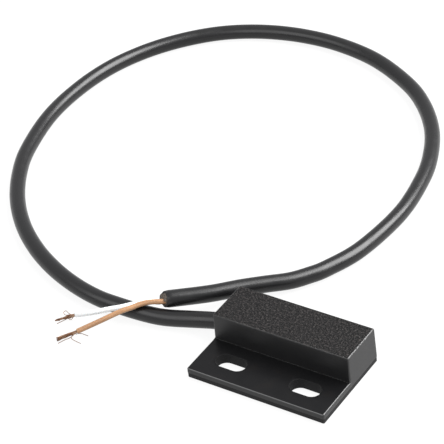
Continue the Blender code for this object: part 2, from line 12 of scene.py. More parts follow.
import bpy
import numpy as np
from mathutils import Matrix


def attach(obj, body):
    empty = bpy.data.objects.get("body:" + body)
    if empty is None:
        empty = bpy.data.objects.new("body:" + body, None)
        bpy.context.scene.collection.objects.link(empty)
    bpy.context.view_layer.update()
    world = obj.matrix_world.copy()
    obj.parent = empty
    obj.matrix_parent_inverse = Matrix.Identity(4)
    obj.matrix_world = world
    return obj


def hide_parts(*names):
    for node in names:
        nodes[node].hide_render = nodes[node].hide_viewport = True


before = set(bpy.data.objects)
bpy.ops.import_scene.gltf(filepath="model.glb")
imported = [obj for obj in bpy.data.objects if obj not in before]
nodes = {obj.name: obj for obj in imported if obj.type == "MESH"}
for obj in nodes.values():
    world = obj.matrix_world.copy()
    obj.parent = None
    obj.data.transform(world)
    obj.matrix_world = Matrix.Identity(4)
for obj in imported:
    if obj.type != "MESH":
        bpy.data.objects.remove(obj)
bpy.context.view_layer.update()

MM = 0.001

# %% [markdown]
# ## The camera
#
# A long lens looks down on the sensor from the front right, so parallel edges stay nearly
# parallel in the picture. The angles and the place were worked out from the housing's corners
# in the photograph. The camera also leans a few degrees to one side, as a hand-held one does.

# %% Camera
LENS = 172.3
SENSOR_WIDTH = 36.0
CAMERA_PLACE = (0.16798, -0.23802, 0.24876)
ELEVATION = math.radians(36.387)
AZIMUTH = math.radians(36.706)
ROLL = math.radians(-6.962)


def camera_axes(azimuth, elevation, roll):
    """Right, up and backward directions of a camera.

    Backward points from the scene to the camera. Right is level, up is square to both, and
    the roll turns right and up about the backward direction.
    """
    flat = math.cos(elevation)
    back = np.array([math.sin(azimuth) * flat, -math.cos(azimuth) * flat, math.sin(elevation)])
    right = np.array([math.cos(azimuth), math.sin(azimuth), 0.0])
    up = np.cross(back, right)
    return (
        math.cos(roll) * right + math.sin(roll) * up,
        math.cos(roll) * up - math.sin(roll) * right,
        back,
    )


def put(name, data, axes, spot):
    """A camera or a lamp at a spot, with its right, up and backward directions."""
    matrix = np.eye(4)
    matrix[:3, :3] = np.column_stack(axes)
    matrix[:3, 3] = spot
    obj = bpy.data.objects.new(name, data)
    obj.matrix_world = matrix.T.tolist()
    bpy.context.scene.collection.objects.link(obj)
    return obj


lens = bpy.data.cameras.new("camera")
lens.lens = LENS
lens.sensor_width = SENSOR_WIDTH
lens.clip_start = 10 * MM
camera = put("camera", lens, camera_axes(AZIMUTH, ELEVATION, ROLL), CAMERA_PLACE)
bpy.context.scene.camera = camera
print("camera at", CAMERA_PLACE, "with a", LENS, "mm lens")

# %% [markdown]
# ## From numbers to a mesh
#
# Every new surface here is a grid of points worked out by numpy. Rows follow one parameter
# and columns the other. The same small helper turns any such grid into faces, closing it
# round the columns, and round the rows too where the surface comes back to its start. Where
# it doesn't, a flat cap closes each end.


# %% Grid helpers
def grid_faces(rows, columns, rows_close=False):
    """Corner numbers of the quads of a grid whose columns close round.

    Quad (i, j) joins point (i, j) to its neighbours in the next row and the next column.
    """
    first = np.arange(rows if rows_close else rows - 1)[:, None]
    here = np.arange(columns)[None, :]
    after = (here + 1) % columns
    below = ((first + 1) % rows) * columns
    first = first * columns
    quads = np.stack([first + here, first + after, below + after, below + here], axis=-1)
    return quads.reshape(-1, 4)


def mesh_of(name, points, quads, caps=()):
    """A mesh from a grid of points, its four-sided faces and a few many-sided caps."""
    mesh = bpy.data.meshes.new(name)
    mesh.from_pydata(points.reshape(-1, 3).tolist(), [], quads.tolist() + list(caps))
    mesh.update()
    return mesh


def place(name, mesh):
    """An object at the origin that shows the mesh."""
    obj = bpy.data.objects.new(name, mesh)
    bpy.context.scene.collection.objects.link(obj)
    return obj


def capped(rows, columns, first=0, flipped=False):
    """The quads of a grid, and the caps that close its first and its last row.

    The grid's points are numbered from first on. Flipped turns all the faces over.
    """
    quads = grid_faces(rows, columns) + first
    low = list(range(first, first + columns))
    high = [number + (rows - 1) * columns for number in low]
    return (quads[:, ::-1], [low, high[::-1]]) if flipped else (quads, [low[::-1], high])


def solid(name, grid, flipped=False):
    """An object whose surface is a grid with a cap at each end."""
    return place(name, mesh_of(name, grid, *capped(*grid.shape[:2], flipped=flipped)))


def triangles(obj):
    """How many triangles the object's mesh has."""
    return int(sum(len(face.vertices) - 2 for face in obj.data.polygons))


# %% [markdown]
# ## The cable's route
#
# The cable leaves the housing's left end, sinks to the table within 15 mm, runs round in one
# wide loop and comes back over itself, where it ends. The points are the CAD model's own.
# A Catmull-Rom curve passes through all of them with no corners, so the light runs smoothly
# along the rubber.


# %% Route of the jacket
CURVE_STEPS = 24


def smooth_route(points, spacing, before=None, after=None):
    """Evenly spaced points on a Catmull-Rom curve through the given points.

    Between two points the curve is a cubic in t whose slope at each point is half the
    step between that point's two neighbours.
    """
    points = np.asarray(points, float)
    first = 2 * points[0] - points[1] if before is None else before
    last = 2 * points[-1] - points[-2] if after is None else after
    knots = np.vstack([first, points, last])[:, None]
    p0, p1, p2, p3 = knots[:-3], knots[1:-2], knots[2:-1], knots[3:]
    t = np.linspace(0, 1, CURVE_STEPS, endpoint=False)[None, :, None]
    bend = 2 * p0 - 5 * p1 + 4 * p2 - p3
    twist = 3 * p1 - p0 - 3 * p2 + p3
    fine = p1 + 0.5 * ((p2 - p0) * t + bend * t**2 + twist * t**3)
    fine = np.vstack([fine.reshape(-1, 3), points[-1:]])
    return resampled(fine, spacing)


def travelled(route):
    """The distance along a route at each of its points."""
    return np.r_[0, np.cumsum(np.linalg.norm(np.diff(route, axis=0), axis=1))]


def read_off(values, along, wanted):
    """A route's points or directions at the wanted distances along it."""
    return np.column_stack([np.interp(wanted, along, values[:, axis]) for axis in range(3)])


def resampled(route, spacing):
    """The same route with its points a set distance apart, as near as a whole number allows."""
    along = travelled(route)
    wanted = np.linspace(0, along[-1], max(2, round(along[-1] / spacing) + 1))
    return read_off(route, along, wanted)


def unit(vectors):
    """The vector, or each row of several, at length one."""
    return vectors / np.linalg.norm(vectors, axis=-1, keepdims=True)


JACKET_DIAMETER = 3.1 * MM
JACKET_WALL = 0.45 * MM
JACKET_LIP = 0.1 * MM
JACKET_STEP = 0.8 * MM
EXIT = np.array([-14.3, 4.105, 2.5]) * MM
JACKET_START = np.array([-11.6, 4.105, 2.5]) * MM
MOUTH = np.array([-14.8, 4.105, 2.5]) * MM
CAD_SPACING = 6.5 * MM
# X, Y and the lift of the cable's underside, in millimetres.
CABLE_ROUTE = [
    (-17.2, 3.7, 0.75), (-21.5, 2.6, 0.3), (-26.2, 1.2, 0.05), (-30.5, 0.6, 0.0),
    (-35.9, 0.4, 0.0), (-41.3, 0.6, 0.0), (-47.5, 1.9, 0.0), (-54.2, 4.3, 0.0),
    (-61.1, 7.9, 0.0), (-68.0, 12.9, 0.0), (-74.4, 19.4, 0.0), (-79.6, 26.9, 0.0),
    (-83.4, 34.9, 0.0), (-86.6, 47.0, 0.0), (-87.1, 58.1, 0.0), (-85.6, 68.3, 0.0),
    (-82.0, 77.2, 0.0), (-76.8, 84.6, 0.0), (-70.3, 90.5, 0.0), (-62.4, 94.5, 0.0),
    (-53.5, 96.6, 0.0), (-43.8, 96.7, 0.0), (-33.4, 94.4, 0.0), (-22.8, 89.0, 0.0),
    (-16.0, 83.4, 0.0), (-10.1, 76.0, 0.0), (-6.0, 67.7, 0.0), (-3.6, 59.5, 0.0),
    (-2.2, 48.0, 0.0), (-3.5, 35.0, 0.0), (-6.4, 27.0, 0.0), (-8.4, 23.5, 0.1),
    (-10.6, 20.4, 0.3), (-13.9, 17.0, 0.8), (-17.2, 13.5, 1.3), (-20.8, 9.3, 1.8),
    (-24.9, 5.2, 2.4), (-27.3, 2.9, 2.75),
]

free_run = np.array(CABLE_ROUTE) * MM + [0, 0, JACKET_DIAMETER / 2]
free_run = np.vstack([MOUTH, free_run])
jacket_route = np.vstack([JACKET_START, smooth_route(free_run, JACKET_STEP, before=JACKET_START)])
cad_stations = np.vstack([JACKET_START, smooth_route(free_run, CAD_SPACING, before=JACKET_START)])
# The photographed cable measures a little more than its nominal 3.1 mm, so the sheath is
# fatter by this much all round, and its centre line lies higher by the same.
OVERSIZE = 0.05 * MM
jacket_route[2:, 2] += OVERSIZE
CABLE_LENGTH = travelled(jacket_route)[-1]
print("cable length in mm:", round(CABLE_LENGTH / MM, 1), "stations:", len(jacket_route))

# %% [markdown]
# ## A tube with a wall
#
# A cable jacket is extruded, so it is one ring carried along a route. The grid here goes
# along the outside, over the lip of the cut end, back along the inside and over the other
# lip, which closes it round both ways and gives the cut end its true thickness.


# %% Sweep helper
def ring_points(route, along, radius, angles, ragged=0.0):
    """Rings of points round a route.

    A ring's point is its centre plus radius times (side cos a + up sin a), where side is
    level and square to the route and up is square to both. Past either end the route goes
    straight on. Ragged, an array over angles, moves each point along the route.
    """
    run = travelled(route)
    held = np.clip(along, 0, run[-1])
    ahead = unit(read_off(np.gradient(route, run, axis=0), run, held))
    centre = read_off(route, run, held) + (along - held)[:, None] * ahead
    side = unit(np.cross(ahead, (0, 0, 1)))
    up = np.cross(side, ahead)
    around = side[:, None] * np.cos(angles)[:, None] + up[:, None] * np.sin(angles)[:, None]
    radius = np.broadcast_to(np.asarray(radius), (len(along), len(angles)))
    shift = np.broadcast_to(np.asarray(ragged), (len(along), len(angles)))
    return centre[:, None] + around * radius[..., None] + ahead[:, None] * shift[..., None]


def add_lengthwise_uv(mesh, quads, along, angles, radius):
    """A UV map in metres: U is the distance round the tube and V the distance along it.

    Where a quad joins the last column to the first, the first counts as a full turn.
    """
    row, column = np.divmod(quads, len(angles))
    at_seam = column.max(axis=1, keepdims=True) == len(angles) - 1
    column = np.where(at_seam & (column == 0), len(angles), column)
    uv = np.stack([np.r_[angles, 2 * math.pi][column] * radius, along[row]], axis=-1)
    mesh.uv_layers.new(name="lengthwise").data.foreach_set("uv", uv.ravel())


def hollow_tube(name, route, diameter, wall, lip, columns, ragged, swell=None):
    """A tube with a wall: outside, far lip, inside and near lip make one closed grid.

    Each lip rounds the two edges of the wall by a quarter circle. Ragged says how far each of
    the far lip's points moves along. Swell adds to the outer radius, over rows and columns.
    """
    run = travelled(route)
    angles = np.linspace(0, 2 * math.pi, columns, endpoint=False)
    turn = np.radians([0, 30, 60, 90])
    outer, inner = diameter / 2, diameter / 2 - wall
    far_along = np.r_[run[-1] - lip + lip * np.sin(turn), run[-1] - lip + lip * np.sin(turn[::-1])]
    far_radius = np.r_[outer - lip + lip * np.cos(turn), inner + lip - lip * np.cos(turn[::-1])]
    near_along, near_radius = run[-1] - far_along[::-1], far_radius[::-1]
    body = run[(run > lip * 1.5) & (run < run[-1] - lip * 1.5)]
    along = np.r_[body, far_along, body[::-1], near_along]
    radius = np.r_[np.full(len(body), outer), far_radius, np.full(len(body), inner), near_radius]
    radius = np.repeat(radius[:, None], columns, axis=1)
    if swell is not None:
        radius[: len(body)] += swell(body[:, None], angles[None, :])
    near_end = np.clip(1 - (run[-1] - along) / (4 * wall), 0, 1)[:, None]
    points = ring_points(route, along, radius, angles, ragged(angles)[None, :] * near_end)
    quads = grid_faces(len(along), columns, rows_close=True)[:, ::-1]
    mesh = mesh_of(name, points, quads)
    mesh.shade_smooth()
    add_lengthwise_uv(mesh, quads, along, angles, outer)
    # Faces of the far lip take the second material, the fresh cut.
    row = np.repeat(np.arange(len(along)), columns)
    cut = (row >= len(body) + 1) & (row < len(body) + len(far_along) - 2)
    mesh.polygons.foreach_set("material_index", cut.astype(int))
    return place(name, mesh)


# %% [markdown]
# ## The jacket
#
# PVC jackets are drawn over two cores, so the outside is round but not perfectly so: it
# swells by a hundredth or two of a millimetre from place to place. The far end was cut with
# a knife, at a slant, and its lip is uneven.


# %% Jacket
# The jacket is longest where the angle round it is about this far short of a full turn.
KNIFE_SIDE = 0.66


def jacket_swell(along, angle):
    """What the radius has beyond its nominal value.

    It is a steady part, two waves along the cable, an oval that turns with it, and a flare
    over the last centimetres, where the knife squeezed it.
    """
    slow = np.sin(2 * math.pi * along / 0.023 + 1.3) + np.sin(2 * math.pi * along / 0.0371)
    turning = np.cos(2 * angle - 2 * math.pi * along / 0.052)
    flare = 1 / (1 + np.exp((CABLE_LENGTH - 0.022 - along) / 0.003))
    return OVERSIZE + 0.006 * MM * slow + 0.008 * MM * turning + 0.05 * MM * flare


def knife_cut(angle):
    """How far the cut end's lip moves along the cable.

    The knife went through at a slant and curved a little, and left a few waves.
    """
    across = angle + KNIFE_SIDE
    slant = -0.18 + 0.53 * np.cos(across) + 0.16 * np.cos(2 * across)
    waves = 0.05 * np.cos(3 * angle + 0.4) + 0.045 * np.cos(7 * angle + 1.1)
    return MM * (slant + waves + 0.03 * np.cos(11 * angle))


jacket = hollow_tube(
    "cable_sheath", jacket_route, JACKET_DIAMETER, JACKET_WALL, JACKET_LIP,
    columns=40, ragged=knife_cut, swell=jacket_swell,
)
print("jacket triangles:", triangles(jacket))

# %% [markdown]
# ## The two cores
#
# Inside the jacket the brown and the white core lie side by side. At the cut end the brown
# one comes out beside the jacket's middle and the white one low down, and from there they
# droop over the cable's own first stretch to the table. Each is a thin PVC tube round its
# copper, so the same sweep makes it, with a smaller wall.

# %% Routes of the cores
# A little over the nominal 0.93 mm, as the photographed cores look.
CORE_DIAMETER = 0.99 * MM
CORE_WALL = 0.18 * MM
CORE_LIP = 0.06 * MM
CORE_SPACING = 1.0 * MM
CORE_STEP = 1.3 * MM
# X, Y and Z in millimetres.
BROWN_START = [
    (9.9, 4.97, 3.47), (8.3, 4.17, 3.04), (1.8, 4.17, 3.04), (-4.7, 4.17, 3.04),
]
WHITE_START = [(-8.4, 5.22, 3.47)]
BROWN_CORE_ROUTE = [
    (-28.2, 1.85, 4.25), (-29.0, 1.45, 4.2), (-30.0, 0.8, 4.1), (-30.9, -0.1, 4.0),
    (-31.6, -1.0, 3.85), (-33.2, -3.1, 3.68), (-35.5, -5.7, 2.83), (-37.5, -7.5, 1.95),
    (-39.2, -8.9, 1.15),
]
WHITE_CORE_ROUTE = [
    (-28.75, 2.42, 3.62), (-30.2, 1.9, 3.95), (-31.35, 0.8, 3.8), (-32.4, -0.4, 3.7),
    (-34.0, -1.75, 3.5), (-35.7, -2.7, 3.2), (-37.9, -3.85, 2.65), (-40.1, -4.6, 1.95),
    (-42.3, -5.0, 1.15),
]


def beside(stations, distance):
    """The stations moved level and square to their run, to its left as seen from above."""
    ahead = np.gradient(stations, axis=0)
    side = np.column_stack([-ahead[:, 1], ahead[:, 0], np.zeros(len(stations))])
    return stations + distance * unit(side)


def core_route(start, distance, turned, beyond):
    """A core's centre line: through the resin, along the jacket and out of its cut end.

    Turned is how far the core lies to the left of the jacket's middle and above it at the
    cut end.
    """
    stations = beside(cad_stations, distance)
    stations[-1] = beside(cad_stations, turned[0])[-1] + [0, 0, turned[1]]
    inside = np.vstack([np.array(start) * MM, stations[0]])
    inside = smooth_route(inside, CORE_STEP, after=stations[1])
    outside = np.vstack([stations[-1], np.array(beyond) * MM])
    outside = smooth_route(outside, 0.4 * MM, before=stations[-2])
    return np.vstack([inside[:-1], stations, outside[1:]])


def core_cut(angle):
    """The cut end of a core's insulation: a slight slant and a nick."""
    return MM * (0.05 * np.cos(angle + 0.9) + 0.02 * np.cos(5 * angle))


BROWN_TURNED = (0.5 * MM, -0.03 * MM)
WHITE_TURNED = (-0.22 * MM, -0.57 * MM)
brown_route = core_route(BROWN_START, CORE_SPACING / 2, BROWN_TURNED, BROWN_CORE_ROUTE)
white_route = core_route(WHITE_START, -CORE_SPACING / 2, WHITE_TURNED, WHITE_CORE_ROUTE)
brown, white = [
    hollow_tube(name, route, CORE_DIAMETER, CORE_WALL, CORE_LIP, 24, core_cut)
    for name, route in (("brown_insulation", brown_route), ("white_insulation", white_route))
]
print("core lengths in mm:", [round(travelled(r)[-1] / MM, 1) for r in (brown_route, white_route)])

# %% [markdown]
# ## What fills the cable
#
# Between the jacket and the cores such a cable has a soft grey filling, and a knife leaves it
# rough and a little proud. Only its end is seen. It is a plug whose face is a disc of rings,
# pushed in and out by a few waves. On the side where the knife took most of the jacket away
# the filling was torn, and stands out further.

# %% Filling at the cut end
FILLING_DEPTH = 1.2 * MM
FILLING_RINGS = 9
# The filling is pressed into the jacket's wall by this much.
PRESSED_IN = 0.02 * MM


def filling_plug(route, radius, columns=36):
    """A closed plug in the jacket's bore: a wavy face, a side wall and a flat back."""
    run = travelled(route)
    angles = np.linspace(0, 2 * math.pi, columns, endpoint=False)
    share = np.linspace(0.05, 1, FILLING_RINGS)[:, None]
    waves = 0.11 * np.cos(3 * angles + 5 * share) + 0.09 * np.cos(5 * angles - 9 * share + 1)
    waves = waves + 0.05 * np.cos(9 * angles + 14 * share)
    torn = 0.32 * share * np.clip(-np.cos(angles + KNIFE_SIDE), 0, None)
    face = knife_cut(angles)[None] * share + MM * (waves + torn + 0.08)
    shift = np.vstack([face, np.zeros((1, columns))])
    along = np.r_[np.full(len(share), run[-1]), run[-1] - FILLING_DEPTH]
    radii = np.r_[share[:, 0] * radius, radius][:, None]
    plug = solid("cut_filling", ring_points(route, along, radii, angles, shift))
    plug.data.shade_smooth()
    return plug


filling = filling_plug(jacket_route, JACKET_DIAMETER / 2 - JACKET_WALL + PRESSED_IN)
print("filling triangles:", triangles(filling))

# %% [markdown]
# ## The bare copper
#
# Each conductor is a rope of fine wires. The ends were stripped: most wires stay together,
# nineteen of them here in two layers round a middle one, and they spread a little and end
# unevenly. A few sprang loose, one of them in a curl. A wire is a thin rod with a rounded
# tip at each end. Inside the insulation the same sweep draws the whole conductor as one
# thicker wire, which runs from the solder joint to the cut end.

# %% Copper wires
CONDUCTOR_DIAMETER = 0.48 * MM
BROWN_JOINT = [(12.0, 5.323, 3.618), (10.4, 5.323, 3.618), (9.9, 4.973, 3.468)]
WHITE_JOINT = [(-5.8, 5.323, 3.618), (-7.4, 5.323, 3.618), (-8.4, 5.223, 3.468)]
WIRE_DIAMETER = 0.12 * MM
WIRE_STEP = 0.1 * MM
ROPE_TURNS = 0.9
SKIN_GAP = 0.05 * MM
BROWN_TIP = np.array([-41.9, -11.8, 0.45]) * MM
WHITE_TIP = np.array([-45.5, -7.4, 0.4]) * MM
BROWN_LOOSE = [
    [(-39.6, -9.6, 0.65), (-40.0, -10.4, 0.4), (-40.6, -11.1, 0.25), (-41.3, -12.4, 0.1)],
    [(-39.45, -9.15, 0.6), (-39.2, -8.6, 0.4), (-38.6, -8.2, 0.25), (-37.4, -8.1, 0.1)],
    [(-39.8, -9.5, 0.6), (-39.75, -10.2, 0.35), (-39.0, -10.4, 0.2), (-37.4, -10.5, 0.1)],
]
WHITE_LOOSE = [
    [
        (-43.2, -5.2, 1.0), (-44.0, -5.1, 1.05), (-44.65, -4.9, 1.2), (-44.9, -5.4, 1.1),
        (-44.3, -5.65, 0.85), (-43.8, -5.3, 0.8), (-44.3, -6.1, 0.5), (-45.0, -7.1, 0.25),
    ],
    [
        (-42.6, -5.45, 0.85), (-42.8, -5.8, 0.5), (-43.15, -6.0, 0.4), (-43.6, -5.9, 0.45),
        (-44.1, -6.5, 0.3), (-44.9, -7.8, 0.1),
    ],
]


def rope_routes(start, tip, spread, seed, count=40):
    """Nineteen routes, one at the middle, six round it and twelve round those.

    Each is a helix about the line from start to tip. Its distance from the line follows
    spread, a function of the share of the way, and each wanders a little of its own.
    """
    chance = np.random.default_rng(seed)
    layer = np.repeat([0.0, 1.0, 2.0], [1, 6, 12])
    place_round = np.r_[0, np.arange(6) / 6, np.arange(12) / 12 + 0.04]
    share = np.linspace(0, 1, count)[None, :] * chance.uniform(0.9, 1.03, 19)[:, None]
    angle = 2 * math.pi * (place_round[:, None] + ROPE_TURNS * share)
    away = (layer * WIRE_DIAMETER * 1.02)[:, None] * spread(share)
    side = unit(np.cross(tip - start, (0, 0, 1)))
    up = unit(np.cross(side, tip - start))
    turn, rate = chance.uniform(0, 2 * math.pi, (2, 19, 1)), chance.uniform(0.6, 1.4, (2, 19, 1))
    wander = 0.05 * MM * share * np.sin(2 * math.pi * rate * share + turn)
    across = (away * np.cos(angle) + wander[0])[..., None] * side
    over = (away * np.sin(angle) + wander[1])[..., None] * up
    return start + share[..., None] * (tip - start) + across + over


def wire_grid(route, diameter, columns):
    """Rings along the route, with a rounded tip at each end."""
    run = travelled(route)
    radius = diameter / 2
    angles = np.linspace(0, 2 * math.pi, columns, endpoint=False)
    turn = np.radians([15, 50])
    tip_along, tip_radius = radius * (1 - np.sin(turn[::-1])), radius * np.cos(turn[::-1])
    body = run[(run > radius) & (run < run[-1] - radius)]
    along = np.r_[tip_along, radius, body, run[-1] - radius, run[-1] - tip_along[::-1]]
    radii = np.r_[tip_radius, radius, np.full(len(body), radius), radius, tip_radius[::-1]]
    return ring_points(route, along, radii[:, None], angles)


def wires(name, routes, diameter=WIRE_DIAMETER, columns=8):
    """One piece of several wires: their grids one after another in a single mesh."""
    points, quads, caps, first = [], [], [], 0
    for route in routes:
        route[:, 2] = np.maximum(route[:, 2], diameter / 2)
        grid = wire_grid(route, diameter, columns)
        faces, ends = capped(len(grid), columns, first, flipped=True)
        points.append(grid.reshape(-1, 3))
        quads.append(faces)
        caps += ends
        first += len(grid) * columns
    mesh = mesh_of(name, np.vstack(points), np.vstack(quads), caps)
    mesh.shade_smooth()
    return place(name, mesh)


def bare_start(core):
    """Where the bare copper of a core begins, just beyond the cut of its insulation."""
    return core[-1] + SKIN_GAP * unit(core[-1] - core[-2])


def loose_wires(colour, core, runs):
    """The wires that leave a core's cut end on their own, each through its own points."""
    pieces = []
    for number, points in enumerate(runs, 1):
        route = np.vstack([bare_start(core), np.array(points) * MM])
        pieces.append(wires(f"{colour}_loose_{number}", [smooth_route(route, WIRE_STEP)]))
    return pieces


def conductor(name, joint, core):
    """The copper inside a core: along the solder joint, then down the middle of the core."""
    bare = smooth_route(np.array(joint) * MM, CORE_STEP / 2, after=core[1])
    return wires(name, [np.vstack([bare[:-1], core])], CONDUCTOR_DIAMETER, columns=12)


def rope(name, core, tip, spread, seed):
    """The wires that stayed together, from the cut end to the tip."""
    return wires(name, rope_routes(bare_start(core), tip, spread, seed))


brown_rope = rope("brown_rope", brown_route, BROWN_TIP, lambda t: 0.93 + 0.35 * t, 4)
white_rope = rope(
    "white_rope", white_route, WHITE_TIP,
    lambda t: 0.85 + 0.6 * np.exp(-(((t - 0.3) / 0.17) ** 2)) - 0.3 * t, 9,
)
brown_wires = loose_wires("brown", brown_route, BROWN_LOOSE)
white_wires = loose_wires("white", white_route, WHITE_LOOSE)
brown_inside = conductor("brown_conductor_rope", BROWN_JOINT, brown_route)
white_inside = conductor("white_conductor_rope", WHITE_JOINT, white_route)
copper_pieces = [brown_inside, white_inside, brown_rope, white_rope] + brown_wires + white_wires
print("copper pieces:", len(copper_pieces), "triangles in a rope:", triangles(brown_rope))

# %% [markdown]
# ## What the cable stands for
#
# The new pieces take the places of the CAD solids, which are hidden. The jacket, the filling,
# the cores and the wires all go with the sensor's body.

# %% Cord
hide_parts("cable_jacket")
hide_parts("brown_core")
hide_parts("white_core")
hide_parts("brown_conductor")
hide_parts("white_conductor")
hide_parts(*[f"brown_strand_{n}" for n in range(1, 5)])
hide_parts(*[f"white_strand_{n}" for n in range(1, 6)])
for n, wire in enumerate(brown_wires):
    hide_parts(f"brown_strand_{n + 5}")
for n, wire in enumerate(white_wires):
    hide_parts(f"white_strand_{n + 6}")
for piece in [jacket, filling, brown, white] + copper_pieces:
    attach(piece, "sensor")

# %% [markdown]
# ## The housing
#
# The housing is moulded in one shot. Its two mould halves meet half way up the flange, where
# a fine step runs all round. Above it every wall leans in by 1.5 degrees, so that the part
# leaves the mould. From above, the flange's outline and the block's outline share the two
# ends and the back. So one grid can hold the whole outside: its columns run round the
# outline, and its rows climb from the underside to the top of the block.

# %% Outlines seen from above
# Half the housing's length and half its width.
LONG = 14.3 * MM
WIDE = 9.5 * MM
BLOCK_FRONT = -0.15 * MM
HEIGHT = 7.6 * MM
PLATE_TOP = 2.1 * MM
PARTING = 1.05 * MM
PARTING_STEP = 0.06 * MM
DRAFT = math.tan(math.radians(1.5))
PLATE_CORNER = 0.35 * MM
BLOCK_CORNER = 0.4 * MM
BACK_CORNER = 0.25 * MM
# How many points lie on the flange's end, on a corner of the block and on any other corner.
END_POINTS, CORNER, BEND = 30, 13, 8


def arc(centre, radius, from_degrees, to_degrees, count):
    """Points on a corner's arc.

    An outline is an array with a row for each point: its X and Y, its outward direction, its
    corner's radius, and the corner's diagonal, along which it moves once an inset is wider
    than the radius, so that the corner stays square there.
    """
    angle = np.radians(np.linspace(from_degrees, to_degrees, count))
    outward = np.column_stack([np.cos(angle), np.sin(angle)])
    middle = math.radians((from_degrees + to_degrees) / 2)
    diagonal = np.sign([math.cos(middle), math.sin(middle)])
    points = np.array(centre) + radius * outward
    return np.column_stack([points, outward, np.full(count, radius), np.tile(diagonal, (count, 1))])


def line(start, end, outward, count):
    """Points on a straight edge without its two ends. Its radius is without limit."""
    share = np.linspace(0, 1, count + 2)[1:-1, None]
    points = np.array(start) + (np.array(end) - np.array(start)) * share
    rest = np.tile([*outward, 1.0, 0.0, 0.0], (count, 1))
    return np.column_stack([points, rest])


# The front columns start on the left end wall, where the block's rounded corner begins, and
# run round the flange to the same place on the right. On the block they run along its front.
SHARED_Y = BLOCK_FRONT + BLOCK_CORNER
left_wall = line((-LONG, SHARED_Y), (-LONG, -WIDE + PLATE_CORNER), (-1, 0), END_POINTS)
left_wall[:, 1] = np.linspace(SHARED_Y, -WIDE + PLATE_CORNER, END_POINTS + 1)[:-1]
flange = np.vstack([
    left_wall,
    arc((-LONG + PLATE_CORNER, -WIDE + PLATE_CORNER), PLATE_CORNER, 180, 270, BEND),
    line((-LONG + PLATE_CORNER, -WIDE), (LONG - PLATE_CORNER, -WIDE), (0, -1), 40),
    arc((LONG - PLATE_CORNER, -WIDE + PLATE_CORNER), PLATE_CORNER, 270, 360, BEND),
    left_wall[::-1] * [-1, 1, -1, 1, 1, -1, 1],
])
straight = len(flange) - 2 * CORNER
block_end = LONG - BLOCK_CORNER
block = np.vstack([
    arc((-block_end, SHARED_Y), BLOCK_CORNER, 180, 270, CORNER),
    line((-block_end, BLOCK_FRONT), (block_end, BLOCK_FRONT), (0, -1), straight),
    arc((block_end, SHARED_Y), BLOCK_CORNER, 270, 360, CORNER),
])
back = np.vstack([
    line((LONG, SHARED_Y), (LONG, WIDE - BACK_CORNER), (1, 0), 12),
    arc((LONG - BACK_CORNER, WIDE - BACK_CORNER), BACK_CORNER, 0, 90, BEND),
    line((LONG - BACK_CORNER, WIDE), (-LONG + BACK_CORNER, WIDE), (0, 1), 24),
    arc((-LONG + BACK_CORNER, WIDE - BACK_CORNER), BACK_CORNER, 90, 180, BEND),
    line((-LONG, WIDE - BACK_CORNER), (-LONG, SHARED_Y), (-1, 0), 12),
])
print("columns in front and behind:", len(flange), len(back))

# %% [markdown]
# The rows are where the shape is. In front they go up the flange's edge, round onto its top,
# across to the block, round the fillet at the block's foot, up its front and over its top
# edge. Behind, the same rows simply climb the straight wall. Near the shared corners the
# flange runs out, and its rounding and the fillet shrink with it.

# %% Rows of the housing
PLATE_EDGE = 0.26 * MM
FOOT_FILLET = 0.03 * MM
TOP_EDGE = 0.3 * MM
UNDER_EDGE = 0.12 * MM
PARTING_EDGE = 0.05 * MM
QUARTER = np.radians(np.linspace(0, 90, 8))[:, None]


def lean(height):
    """How far a wall has leaned in at a height above the parting line."""
    return np.maximum(height - PARTING, 0) * DRAFT


def column_points(outline, inset, height):
    """Points inset from an outline.

    Up to the corner's radius the inset goes against the outward direction, and what is more
    than that goes against the corner's diagonal.
    """
    inset, height, radius = np.broadcast_arrays(inset, height, outline[:, 4])
    round_part = np.minimum(inset, radius)[..., None]
    square_part = inset[..., None] - round_part
    flat = outline[:, :2] - round_part * outline[:, 2:4] - square_part * outline[:, 5:7]
    return np.concatenate([flat, height[..., None]], axis=-1)


def wall(outline, offset, height):
    """Rows on a leaning wall: the outline, inset by the lean and by an offset."""
    return column_points(outline, offset + lean(height), height)


def lower_rows(outline):
    """From the underside, round its edge, up to the parting line and out over the step."""
    turn = QUARTER[::2]
    under = wall(outline, PARTING_STEP + UNDER_EDGE * (1 - np.cos(turn[::-1])),
                 UNDER_EDGE * (1 - np.sin(turn[::-1])))
    step = wall(outline, PARTING_STEP, np.array([[PARTING - 0.03 * MM]]))
    out = wall(outline, PARTING_EDGE * (1 - np.sin(turn)),
               PARTING + PARTING_EDGE * (1 - np.cos(turn)))
    return np.concatenate([under, step, out])


def top_rows(outline):
    """Over the block's top edge: a quarter circle from the wall to the top."""
    climb = HEIGHT - TOP_EDGE * (1 - np.sin(QUARTER))
    return wall(outline, TOP_EDGE * (1 - np.cos(QUARTER)), climb)


width = np.linalg.norm(flange[:, :2] - block[:, :2], axis=1)[None]
to_end_wall = (LONG - abs(block[:, 0])) / np.maximum(abs(block[:, 2]), 0.01)
rounding = np.minimum(PLATE_EDGE, 0.35 * width)
fillet = np.minimum(np.minimum(FOOT_FILLET, 0.45 * width), 0.8 * to_end_wall)
edge = wall(flange, rounding * (1 - np.cos(QUARTER)), PLATE_TOP - rounding * (1 - np.sin(QUARTER)))
foot = wall(block, -fillet * (1 - np.sin(QUARTER)), PLATE_TOP + fillet * (1 - np.cos(QUARTER)))
share = np.linspace(0, 1, 8)[1:-1, None, None]
across = edge[-1] + (foot[0] - edge[-1]) * share
climb = np.linspace(0, 1, 8)[1:-1, None]
front_wall_low = foot[-1, :, 2][None]
rise = wall(block, 0.0, front_wall_low + (HEIGHT - TOP_EDGE - front_wall_low) * climb)
front = np.concatenate([lower_rows(flange), edge, across, foot, rise, top_rows(block)])
middle_rows = len(edge) + len(across) + len(foot) + len(rise)
